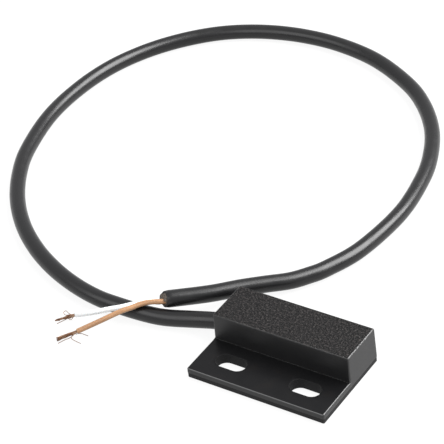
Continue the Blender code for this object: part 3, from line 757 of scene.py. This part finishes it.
heights = np.linspace(PARTING + 0.3 * MM, HEIGHT - TOP_EDGE - 0.3 * MM, middle_rows)[:, None]
behind = np.concatenate([lower_rows(back), wall(back, 0.0, heights), top_rows(back)])
outside = np.concatenate([front, behind], axis=1)
print("housing grid:", outside.shape[:2])

# %% [markdown]
# The slots, the pocket for the resin and the hole for the cable are cut out of this shell by
# Boolean modifiers. A cutter is the same kind of grid, a closed outline carried up through
# rows, and it flares where it passes the surface. That gives each rim the small rounding that
# a mould leaves.


# %% Cutters
def prism(name, outline, inset, height):
    """A closed solid: an outline carried up, inset by an amount at each height.

    Insets and heights are in millimetres.
    """
    return solid(name, column_points(outline, inset[:, None] * MM, height[:, None] * MM))


def rounded_rectangle(low, high, radius, bend=10):
    """The outline of a rectangle with round corners, anticlockwise."""
    (x0, y0), (x1, y1) = low, high
    return np.vstack([
        arc((x1 - radius, y0 + radius), radius, 270, 360, bend),
        arc((x1 - radius, y1 - radius), radius, 0, 90, bend),
        arc((x0 + radius, y1 - radius), radius, 90, 180, bend),
        arc((x0 + radius, y0 + radius), radius, 180, 270, bend),
    ])


def rim(radius, at, outwards):
    """Insets and heights of a rim that flares by 70 degrees of a circle, in millimetres.

    Heights run away from the wall in the direction of outwards, and end past the surface.
    """
    turn = np.radians([0, 18, 35, 53, 70])
    inset = -radius * (1 - np.cos(turn))
    height = at - outwards * radius * (1 - np.sin(turn))
    past = np.array([0.5 * math.cos(turn[-1]), 0.5 * math.sin(turn[-1])])
    return np.r_[inset, inset[-1] - past[1]], np.r_[height, height[-1] + outwards * past[0]]


SLOT_LENGTH, SLOT_WIDTH, SLOT_Y, SLOT_X = 6.2 * MM, 3.5 * MM, -4.65 * MM, 7.75 * MM
# In millimetres, as rim and prism take them.
SLOT_RIM, POCKET_RIM, POCKET_ROOF, POCKET_EDGE = 0.04, 0.15, 6.3, 0.4
below, above = np.array(rim(SLOT_RIM, 0.0, -1))[:, ::-1], rim(SLOT_RIM, PLATE_TOP / MM, 1)
slot_inset, slot_height = np.hstack([below, above])
cutters = []
for name, x in (("left_slot", -SLOT_X), ("right_slot", SLOT_X)):
    low = (x - SLOT_LENGTH / 2, SLOT_Y - SLOT_WIDTH / 2)
    high = (x + SLOT_LENGTH / 2, SLOT_Y + SLOT_WIDTH / 2)
    shape = rounded_rectangle(low, high, SLOT_WIDTH / 2 - 0.001 * MM, 14)
    cutters.append(prism(name, shape, slot_inset, slot_height))

POCKET_LOW = (-LONG + 1.4 * MM, BLOCK_FRONT + 1.2 * MM)
POCKET_HIGH = (LONG - 1.4 * MM, WIDE - 1.2 * MM)
POCKET_CORNER = 0.6 * MM
pocket_outline = rounded_rectangle(POCKET_LOW, POCKET_HIGH, POCKET_CORNER)
mouth_inset, mouth_height = rim(POCKET_RIM, 0.0, -1)
turn = np.radians(np.linspace(0, 90, 6))
roof_height = POCKET_ROOF - POCKET_EDGE * (1 - np.sin(turn))
roof_inset = POCKET_EDGE * (1 - np.cos(turn)) + roof_height * DRAFT
pocket_inset = np.r_[mouth_inset[::-1], roof_inset]
pocket_height = np.r_[mouth_height[::-1], roof_height]
cutters.append(prism("pocket", pocket_outline, pocket_inset, pocket_height))

hole_angles = np.linspace(0, 2 * math.pi, 48, endpoint=False)
hole_x = np.array([-15.3, -14.55, -14.2, -14.1, -14.0, -12.0]) * MM
hole_radius = np.array([2.35, 2.0, 1.72, 1.67, 1.65, 1.65]) * MM
hole_route = np.array([(x, *EXIT[1:]) for x in hole_x[[0, -1]]])
hole = ring_points(hole_route, hole_x - hole_x[0], hole_radius[:, None], hole_angles)
cutters.append(solid("cable_hole", hole, flipped=True))
print("cutters:", [cutter.name for cutter in cutters])

# %% [markdown]
# The cuts are made one after another and kept, then the cutters go. Edges sharper than 35
# degrees stay sharp, and normals are weighted by face area, so that the wide flat faces look
# flat and only the roundings bend the light.


# %% Cut the housing
def cut_away(obj, tools):
    """Cuts each tool out of the object and deletes it."""
    for tool in tools:
        modifier = obj.modifiers.new(tool.name, "BOOLEAN")
        modifier.operation = "DIFFERENCE"
        modifier.solver = "EXACT"
        modifier.object = tool
    graph = bpy.context.evaluated_depsgraph_get()
    cut = bpy.data.meshes.new_from_object(obj.evaluated_get(graph))
    obj.modifiers.clear()
    obj.data = cut
    for tool in tools:
        bpy.data.objects.remove(tool, do_unlink=True)


def flat_and_round(obj, degrees=35):
    """Smooth shading that keeps sharp edges and lets wide faces win over narrow ones."""
    obj.data.shade_smooth()
    obj.data.set_sharp_from_angle(angle=math.radians(degrees))
    modifier = obj.modifiers.new("weighted_normals", "WEIGHTED_NORMAL")
    modifier.keep_sharp = True
    modifier.weight = 80


housing = solid("moulded_housing", outside)
cut_away(housing, cutters)
flat_and_round(housing)
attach(housing, "sensor")
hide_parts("housing")
print("housing triangles:", triangles(housing))

# %% [markdown]
# ## The resin's face
#
# The sensor is potted upside down. While it is liquid the resin wets the pocket's walls and
# climbs them a little, and the cured face keeps that shallow dish. It is a thin lens on the
# face of the CAD resin, in the pocket's mouth. Each point's height depends on its distance
# from the wall.

# %% Resin face
CLIMB = 0.14 * MM
CLIMB_WIDTH = 0.55 * MM
RESIN_LEVEL = 0.19 * MM
# The lens's hidden side: how far it lies from the wall, and how high.
LID = (0.05 * MM, 0.28 * MM)
inward = np.array([0.0, 0.04, 0.1, 0.18, 0.28, 0.4, 0.55]) * MM
sink = CLIMB * np.exp(-((inward / CLIMB_WIDTH * 2.2) ** 1.3))
resin_inset = np.r_[inward[::-1], LID[0]][:, None]
resin_height = np.r_[(RESIN_LEVEL - sink)[::-1], LID[1]][:, None]
resin = solid("resin_face", column_points(pocket_outline, resin_inset, resin_height))
flat_and_round(resin, 50)
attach(resin, "sensor")
print("resin face triangles:", triangles(resin))

# %% [markdown]
# ## Materials
#
# Each material starts from what the real one is. Colours are written as sRGB hex values, the
# way a colour picker shows them, and one function turns them to the linear values that the
# shader wants. One function adds a node with its settings and links, and the short ones
# after it call it for the kinds of node that every material needs. A socket knows its own
# node tree, so none of them has to be told where its node goes.


# %% Material helpers
def linear(hex_colour):
    """An sRGB hex colour as linear red, green, blue and a full alpha."""
    value = np.array([int(hex_colour[n : n + 2], 16) for n in (1, 3, 5)]) / 255
    value = np.where(value <= 0.04045, value / 12.92, ((value + 0.055) / 1.055) ** 2.4)
    return (*value.tolist(), 1.0)


def connect(node, inputs):
    """Sets each named input of a node to a value, or links it from a socket."""
    for name, value in inputs.items():
        if isinstance(value, bpy.types.NodeSocket):
            node.id_data.links.new(value, node.inputs[name])
        else:
            node.inputs[name].default_value = value


def add(tree, kind, inputs, **settings):
    """Adds a node to a tree, sets its properties and connects its inputs."""
    node = tree.nodes.new(kind)
    for name, value in settings.items():
        setattr(node, name, value)
    connect(node, inputs)
    return node


def new_material(name, colour, roughness, metallic=0.0, **sockets):
    """A material, its shader, and the socket that gives each point's place on the object."""
    material = bpy.data.materials.new(name)
    material.use_nodes = True
    shader = material.node_tree.nodes["Principled BSDF"]
    connect(shader, {"Base Color": linear(colour), "Roughness": roughness, "Metallic": metallic})
    connect(shader, {socket.replace("_", " "): value for socket, value in sockets.items()})
    where = add(material.node_tree, "ShaderNodeTexCoord", {}).outputs["Object"]
    return material, shader, where


def ramp(factor, stops):
    """A colour ramp through (place, hex colour) stops."""
    node = add(factor.id_data, "ShaderNodeValToRGB", {"Fac": factor})
    elements = node.color_ramp.elements
    elements[0].position, elements[0].color = stops[0][0], linear(stops[0][1])
    elements[1].position, elements[1].color = stops[-1][0], linear(stops[-1][1])
    for position, colour in stops[1:-1]:
        elements.new(position).color = linear(colour)
    return node.outputs["Color"]


def noise(where, size, detail=2.0, roughness=0.5):
    """A value that drifts about one half, in blotches of the given size."""
    inputs = {"Vector": where, "Scale": 1 / size, "Detail": detail, "Roughness": roughness}
    return add(where.id_data, "ShaderNodeTexNoise", inputs).outputs["Fac"]


def drawn_out(where, sizes):
    """Coordinates divided by a size for each axis, which draws a pattern out into lines."""
    inputs = {"Vector": where, "Scale": [1 / size for size in sizes]}
    return add(where.id_data, "ShaderNodeMapping", inputs).outputs["Vector"]


def between(value, low, high, first, last):
    """What goes from first to last while a socket's value goes from low to high."""
    inputs = {"Value": value, "From Min": low, "From Max": high, "To Min": first, "To Max": last}
    return add(value.id_data, "ShaderNodeMapRange", inputs).outputs["Result"]


def worked_out(operation, *values):
    """The result of a Math node on up to three values, the first of which is a socket."""
    inputs = dict(enumerate(values))
    return add(values[0].id_data, "ShaderNodeMath", inputs, operation=operation).outputs["Value"]


def bump(height, strength, distance, **more):
    """A normal tilted by a height. A height of one stands for the distance, in metres."""
    inputs = {"Height": height, "Strength": strength, "Distance": distance, **more}
    return add(height.id_data, "ShaderNodeBump", inputs).outputs["Normal"]


def lengthwise(shader):
    """The coordinates that run round a tube and along it, in metres."""
    return add(shader.id_data, "ShaderNodeUVMap", {}, uv_map="lengthwise").outputs["UV"]


# %% [markdown]
# ### Moulded black housing
#
# Glass-filled nylon or PBT from a spark-eroded mould: a deep black. The top of the block has a
# coarse grain, blotches nearly half a millimetre across that glint one by one. The sides and
# the flange are nearly smooth, because there the part slides out of the mould. The walls that
# face the front and the ends are duller, and so is the flange below its parting line. The
# flange's outer edges and the block's ends are burnished by handling. Heights and directions
# on the object say where each of these is.

# %% Black moulding
TOP_GRAIN = 0.4 * MM
SIDE_GRAIN = 0.14 * MM
black_moulding, shader, where = new_material(
    "spark_eroded_black_nylon", "#0c0c0d", 0.3, Specular_IOR_Level=0.46
)
at = add(shader.id_data, "ShaderNodeSeparateXYZ", {"Vector": where}).outputs
facing = add(shader.id_data, "ShaderNodeTexCoord", {}).outputs["Normal"]
facing = add(shader.id_data, "ShaderNodeSeparateXYZ", {"Vector": facing}).outputs
facing_end = worked_out("ABSOLUTE", facing["X"])

on_top = between(at["Z"], HEIGHT - 0.3 * MM, HEIGHT - 0.05 * MM, 0.0, 1.0)
blotches = noise(where, TOP_GRAIN, 3.0, 0.6)
grain = bump(blotches, on_top, 0.3 * MM)
grain = bump(noise(where, SIDE_GRAIN), 0.4, 0.004 * MM, Normal=grain)

# How much the surface mirrors: less on the faces that look up or to the front.
on_front = between(facing["Y"], -0.95, -0.75, 0.15, 0.0)
sheen = between(facing["Z"], 0.75, 0.97, 0.54, 0.14)
sheen = worked_out("MULTIPLY_ADD", on_front, -0.9, sheen)
# Rounded edges are burnished: those of the flange, but not at the block's foot, and those of
# the block at its ends.
rounded = ramp(
    facing["Z"], [(0.12, "#000000"), (0.3, "#ffffff"), (0.85, "#ffffff"), (0.97, "#000000")]
)
above_flange = (PLATE_TOP + 0.2 * MM, PLATE_TOP + 0.6 * MM)
off_foot = between(at["Y"], BLOCK_FRONT - 0.4 * MM, BLOCK_FRONT - 0.2 * MM, 1.0, 0.0)
at_end = worked_out(
    "MULTIPLY", between(facing_end, 0.2, 0.45, 0.0, 1.0), between(at["Z"], *above_flange, 0.2, 1.0)
)
low_down = worked_out("MULTIPLY", between(at["Z"], *above_flange, 0.65, 0.0), off_foot)
low_down = worked_out("MULTIPLY", low_down, between(facing_end, 0.2, 0.45, 1.0, 0.0))
worn = worked_out("MULTIPLY", worked_out("MAXIMUM", at_end, low_down), rounded)
sheen = worked_out("MULTIPLY_ADD", worn, 0.6, sheen)
at_parting = (PARTING - 0.05 * MM, PARTING + 0.05 * MM)
sheen = worked_out("MULTIPLY", sheen, between(at["Z"], *at_parting, 0.55, 1.0))

# How rough it is: more so below the parting line and on the faces to the ends and the front.
on_end = between(facing_end, 0.75, 0.95, 0.0, 0.25)
below_parting = between(at["Z"], *at_parting, 1.0, 0.0)
rough = between(at["Z"], HEIGHT - 0.3 * MM, HEIGHT, 0.3, 0.42)
rough = worked_out("MULTIPLY_ADD", below_parting, 0.2, rough)
rough = worked_out("ADD", worked_out("ADD", rough, on_end), on_front)

sides = ramp(
    noise(where, 2.5 * MM, 4.0), [(0.3, "#0a0a0b"), (0.55, "#0c0c0d"), (0.75, "#0f0e0e")]
)
top = ramp(blotches, [(0.38, "#020202"), (0.52, "#090808"), (0.64, "#2a2726")])
shade = add(shader.id_data, "ShaderNodeMix", {0: on_top, 6: sides, 7: top}, data_type="RGBA")
connect(shader, {
    "Base Color": shade.outputs[2], "Normal": grain, "Roughness": rough,
    "Specular IOR Level": sheen,
})
housing.data.materials.clear()
housing.data.materials.append(black_moulding)
print("blotches per mm:", round(MM / TOP_GRAIN, 2))

# %% [markdown]
# The pins that form the slots are left rough, so the slots' walls are dull. The faces there
# are picked out by where they lie and which way they look.

# %% Slot walls
dull_walls, shader, where = new_material(
    "dull_black_nylon_slot_wall", "#0e0e0f", 0.7, Specular_IOR_Level=0.2
)
connect(shader, {"Normal": bump(noise(where, SIDE_GRAIN, 3.0), 0.6, 0.03 * MM)})
housing.data.materials.append(dull_walls)
count = len(housing.data.polygons)
middle, normal = np.empty(count * 3), np.empty(count * 3)
housing.data.polygons.foreach_get("center", middle)
housing.data.polygons.foreach_get("normal", normal)
middle, normal = middle.reshape(-1, 3), normal.reshape(-1, 3)
in_slot = (abs(normal[:, 2]) < 0.97) & (middle[:, 2] < PLATE_TOP)
in_slot &= abs(middle[:, 1] - SLOT_Y) < SLOT_WIDTH / 2 + 0.1 * MM
in_slot &= abs(abs(middle[:, 0]) - SLOT_X) < SLOT_LENGTH / 2 + 0.1 * MM
housing.data.polygons.foreach_set("material_index", in_slot.astype(int))
print("faces on the slots' walls:", int(in_slot.sum()))

# %% [markdown]
# ### Black cable jacket
#
# Soft PVC, drawn through a die. It is about as smooth as the housing's sides, so a soft box
# shows on it as a long stripe. Very fine lines run along it where the die scraped, and
# handling leaves faint cloudy marks.

# %% Jacket material
DIE_LINE = (0.12 * MM, 30 * MM, 1)
black_pvc, shader, where = new_material(
    "extruded_black_pvc", "#0c0c0d", 0.3, Specular_IOR_Level=0.36
)
lines = noise(drawn_out(lengthwise(shader), DIE_LINE), 1.0)
connect(shader, {
    "Roughness": between(noise(where, 3 * MM, 4.0), 0.3, 0.7, 0.26, 0.36),
    "Normal": bump(lines, 0.3, 0.003 * MM),
})
jacket.data.materials.append(black_pvc)


def fresh_cut(name, low, high, size):
    """A torn, dry surface: two colours in blotches of the given size, and a matching bump."""
    material, shader, where = new_material(name, high, 0.75)
    torn = noise(where, size, 4.0)
    shade = ramp(torn, [(0.35, low), (0.65, high)])
    connect(shader, {"Base Color": shade, "Normal": bump(torn, 0.6, 0.04 * MM)})
    return material


jacket.data.materials.append(fresh_cut("knife_cut_black_pvc", "#0e0e0f", "#1a1a1a", 0.2 * MM))
filling.data.materials.append(fresh_cut("torn_grey_filling", "#2a2723", "#5e554c", 0.25 * MM))
print("materials of the jacket:", [skin.name for skin in jacket.data.materials])

# %% [markdown]
# ### Insulation of the cores
#
# Thin coloured PVC, slightly waxy. Light enters it a little, which softens the shaded side.


# %% Core materials
def core_material(name, dark, colour, light, roughness):
    """Coloured PVC whose shade drifts along the core and round it."""
    material, shader, _ = new_material(
        name, colour, roughness, Subsurface_Weight=0.15, Subsurface_Scale=1.0,
        Subsurface_Radius=(0.4 * MM, 0.3 * MM, 0.25 * MM),
    )
    drift = noise(drawn_out(lengthwise(shader), (0.3 * MM, 4 * MM, 1)), 1.0, 3.0)
    shade = ramp(drift, [(0.3, dark), (0.5, colour), (0.72, light)])
    connect(shader, {"Base Color": shade, "Normal": bump(drift, 0.3, 0.004 * MM)})
    return material


brown_pvc = core_material("brown_core_pvc", "#7d5b3f", "#886546", "#94704f", 0.42)
white_pvc = core_material("white_core_pvc", "#bcbebe", "#c4c6c6", "#cccece", 0.4)
for core, skin, low, high in (
    (brown, brown_pvc, "#6d503a", "#886546"), (white, white_pvc, "#a9abab", "#c4c6c6"),
):
    core.data.materials.append(skin)
    core.data.materials.append(fresh_cut(skin.name + "_cut", low, high, 0.12 * MM))

# %% [markdown]
# ### Copper
#
# Drawn copper wire that has been in the air for a while: pink-brown rather than orange, with
# duller patches. Inside the cores the same copper stays hidden.

# %% Copper material
copper, shader, where = new_material("drawn_bare_copper", "#785944", 0.42, 1.0)
patches = noise(where, 0.9 * MM, 3.0)
connect(shader, {
    "Base Color": ramp(patches, [(0.32, "#5c443c"), (0.5, "#785944"), (0.7, "#9c8370")]),
    "Roughness": between(patches, 0.3, 0.7, 0.55, 0.36),
})
for wire in copper_pieces:
    wire.data.materials.append(copper)
print("pieces of copper:", len(copper_pieces))

# %% [markdown]
# ### Inside the housing
#
# The pieces in the resin are seen only where someone takes the part to bits, but each is
# finished. The resin is glossy black epoxy that set with a faint ripple. The capsule is
# greenish infrared-absorbing glass. The reeds are rolled nickel-iron, with fine lines along
# them, and the joints are tin solder with a frosted skin.

# %% Materials of the inner pieces
epoxy, shader, where = new_material("cast_black_epoxy", "#151516", 0.16)
connect(shader, {
    "Roughness": between(noise(where, 0.2 * MM, 3.0), 0.35, 0.75, 0.12, 0.3),
    "Normal": bump(noise(where, 4 * MM), 0.5, 0.12 * MM),
})
resin.data.materials.append(epoxy)

glass, shader, where = new_material(
    "green_capsule_glass", "#cfe3d2", 0.03, Transmission_Weight=0.95, IOR=1.5
)
lines = noise(drawn_out(where, (9 * MM, 0.5 * MM, 0.5 * MM)), 1.0)
connect(shader, {"Normal": bump(lines, 0.2, 0.01 * MM)})

nickel_iron, shader, where = new_material("rolled_nickel_iron", "#b9b4aa", 0.3, 1.0)
lines = noise(drawn_out(where, (5 * MM, 0.05 * MM, 0.05 * MM)), 1.0)
connect(shader, {
    "Base Color": ramp(lines, [(0.3, "#a8a39a"), (0.7, "#c5c0b6")]),
    "Roughness": between(lines, 0.3, 0.7, 0.24, 0.42),
})

solder, shader, where = new_material("frosted_tin_solder", "#b4b6b8", 0.35, 1.0)
frost = add(shader.id_data, "ShaderNodeTexVoronoi", {"Vector": where, "Scale": 1 / (0.25 * MM)})
frost = frost.outputs["Distance"]
connect(shader, {
    "Normal": bump(frost, 0.4, 0.01 * MM), "Roughness": between(frost, 0.0, 0.8, 0.25, 0.5)
})

inner_finishes = {
    "potting": epoxy, "glass_capsule": glass, "near_reed": nickel_iron,
    "far_reed": nickel_iron, "near_solder": solder, "far_solder": solder,
}
for node, material in inner_finishes.items():
    for material_slot in nodes[node].material_slots:
        material_slot.material = material
print("inner pieces finished:", len(inner_finishes))

# %% [markdown]
# ## Table, lights and exposure
#
# The photograph is a bright catalogue picture: the table is pure white with hardly any
# shadow, as on a light table. So most of the table's white is its own glow, and its surface
# is dark, so that hardly any shadow shows on it. One large soft light stands behind to the
# right and draws the long stripes on the cable, and a weaker one lights the front. The tent
# round the object is paler above than near the table.

# %% Table
TABLE_HALF = 1.5
corners = np.array([(-1, -1, 0), (1, -1, 0), (1, 1, 0), (-1, 1, 0)]) * TABLE_HALF
table = place("table", mesh_of("table", corners, np.array([[0, 1, 2, 3]])))
lit_table, shader, where = new_material(
    "white_acrylic_light_table", "#3c3c3c", 0.6,
    Emission_Color=linear("#ffffff"), Emission_Strength=0.9,
)
shade = ramp(noise(where, 1 / 12.0, 3.0), [(0.3, "#3a3a3a"), (0.7, "#3e3e3e")])
connect(shader, {"Base Color": shade})
table.data.materials.append(lit_table)
print("table's width in metres:", 2 * TABLE_HALF)


# %% Lights
LOOP_MIDDLE = np.array([-0.03, 0.03, 0.0])
LIGHT_DISTANCE = 1.2


def soft_box(name, azimuth, elevation, size, power):
    """A rectangular soft light that faces the middle of the cable's loop.

    Azimuth turns from the front towards the right, and both angles are in degrees. The size
    is in metres and the power in watts.
    """
    lamp = bpy.data.lights.new(name, "AREA")
    lamp.shape = "RECTANGLE"
    lamp.size, lamp.size_y = size
    lamp.energy = power
    axes = camera_axes(math.radians(azimuth), math.radians(elevation), 0.0)
    put(name, lamp, axes, LOOP_MIDDLE + LIGHT_DISTANCE * axes[2])


soft_box("key_light", 128, 47, (1.05, 0.95), 47.0)
soft_box("front_light", -15, 42, (1.6, 0.8), 9.6)

tent = bpy.data.worlds.new("light_tent")
tent.use_nodes = True
direction = add(tent.node_tree, "ShaderNodeTexCoord", {}).outputs["Generated"]
upward = add(tent.node_tree, "ShaderNodeSeparateXYZ", {"Vector": direction}).outputs["Z"]
shade = ramp(upward, [(0.0, "#e4e4e6"), (0.55, "#ececee"), (0.9, "#ffffff")])
connect(tent.node_tree.nodes["Background"], {"Color": shade, "Strength": 1.0})
bpy.context.scene.world = tent
bpy.context.scene.view_settings.view_transform = "Standard"
print("lights placed")
